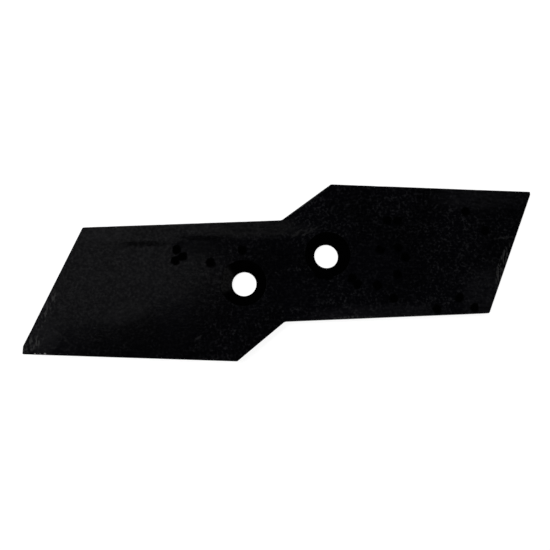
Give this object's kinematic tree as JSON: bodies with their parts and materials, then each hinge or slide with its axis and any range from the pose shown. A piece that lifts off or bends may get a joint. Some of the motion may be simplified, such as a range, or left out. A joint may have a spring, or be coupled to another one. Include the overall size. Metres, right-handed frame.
{
  "type": "ploughshare",
  "caption": "Flat reversible ploughshare in painted steel, with raked blades alike under a half turn and countersunk bolt holes between them.",
  "frame": {"origin": "on the flat back face, midway between the two bolt holes", "axes": "+Z out of the worked face, where the bolt heads sink in; +X along the plate's length; +Y across it"},
  "size_m": [0.2846, 0.1008, 0.008],
  "materials": {
    "painted_steel": "near-black satin paint over rolled steel, with fine mottling and light scratches"
  },
  "bodies": {
    "root": {"share_plate": "painted_steel"}
  },
  "joints": []
}
